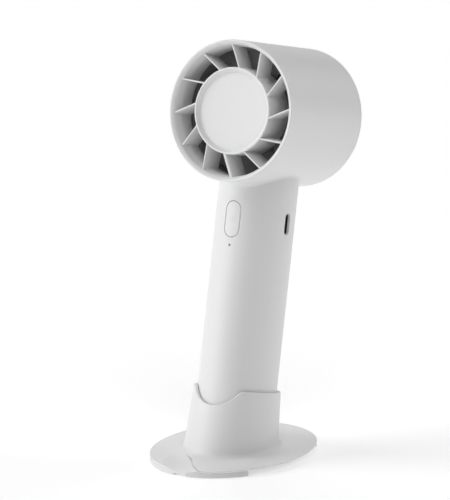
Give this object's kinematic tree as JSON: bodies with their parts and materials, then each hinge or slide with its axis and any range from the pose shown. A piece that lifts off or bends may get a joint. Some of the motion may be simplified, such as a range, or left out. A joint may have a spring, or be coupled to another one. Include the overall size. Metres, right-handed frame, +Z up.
{
  "type": "handheld electric fan with desk stand",
  "caption": "Handheld electric turbo fan with a drum head, guide vanes and oval handle, resting in the tilted cup of an oval desk stand.",
  "frame": {"origin": "on the table, at the centre of the bounding box's underside", "axes": "+Z up; the fan blows towards -Y; +X is to the right seen from the front"},
  "size_m": [0.0656, 0.1056, 0.1792],
  "materials": {
    "housing_white": "fine satin moulded ABS",
    "stand_white": "fine satin moulded ABS",
    "button_white": "satin moulded ABS",
    "feet_silicone": "soft matt silicone",
    "steel": "bright zinc plating",
    "bearing_steel": "ground steel",
    "core_steel": "stacked laminations",
    "port_steel": "drawn stainless shell",
    "brass": "turned",
    "copper": "enamelled copper wire",
    "nickel": "nickel strip",
    "circuit_board": "solder mask",
    "black_plastic": "moulded epoxy",
    "wire_sleeve": "PVC sleeve",
    "inner_plastic": "plain moulded ABS",
    "dark_plastic": "moulded glass-filled nylon",
    "battery_wrap": "shrink sleeve",
    "clear_plastic": "clear polycarbonate",
    "magnet": "bonded magnet"
  },
  "bodies": {
    "stand": {"stand_base": "stand_white", "stand_cover": "stand_white", "stand_feet": "feet_silicone", "stand_screws": "steel"},
    "fan": {"main_housing": "housing_white", "duct_ring": "housing_white", "inlet_liner": "dark_plastic", "fixed_hub": "housing_white", "guide_vanes": "housing_white", "hub_cap": "housing_white", "rear_grille": "housing_white", "bearing_tube": "brass", "front_bearing": "bearing_steel", "rear_bearing": "bearing_steel", "stator_core": "core_steel", "stator_coils": "copper", "motor_board": "circuit_board", "board_standoff_screws": "steel", "motor_screws": "steel", "phase_wires": "copper", "motor_leads": "wire_sleeve", "chassis": "inner_plastic", "battery_cell": "battery_wrap", "battery_tabs": "nickel", "battery_leads": "wire_sleeve", "main_board": "circuit_board", "board_parts": "black_plastic", "board_screws": "steel", "usb_shell": "port_steel", "usb_tongue": "black_plastic", "switch_body": "black_plastic", "status_led": "clear_plastic", "light_pipe": "clear_plastic", "bottom_cap": "housing_white", "cap_screws": "steel"},
    "button": {"power_button": "button_white", "switch_plunger": "inner_plastic"},
    "rotor": {"impeller_hub": "dark_plastic", "impeller_blades": "dark_plastic", "rotor_can": "bearing_steel", "magnet_ring": "magnet", "motor_shaft": "bearing_steel", "shaft_clip": "steel"}
  },
  "joints": [
    {"name": "lift_out", "type": "slide", "parent": "stand", "child": "fan", "axis": [0, 0.2018, 0.9794], "range_m": [0, 0.04]},
    {"name": "impeller_spin", "type": "hinge", "parent": "fan", "child": "rotor", "pos_m": [0, 0.01743, 0.14384], "axis": [0, 0.9794, -0.2018], "continuous": true},
    {"name": "button_press", "type": "slide", "parent": "fan", "child": "button", "axis": [0, 0.9794, -0.2018], "range_m": [0, 0.0003], "stiffness_N_per_m": 4000}
  ]
}
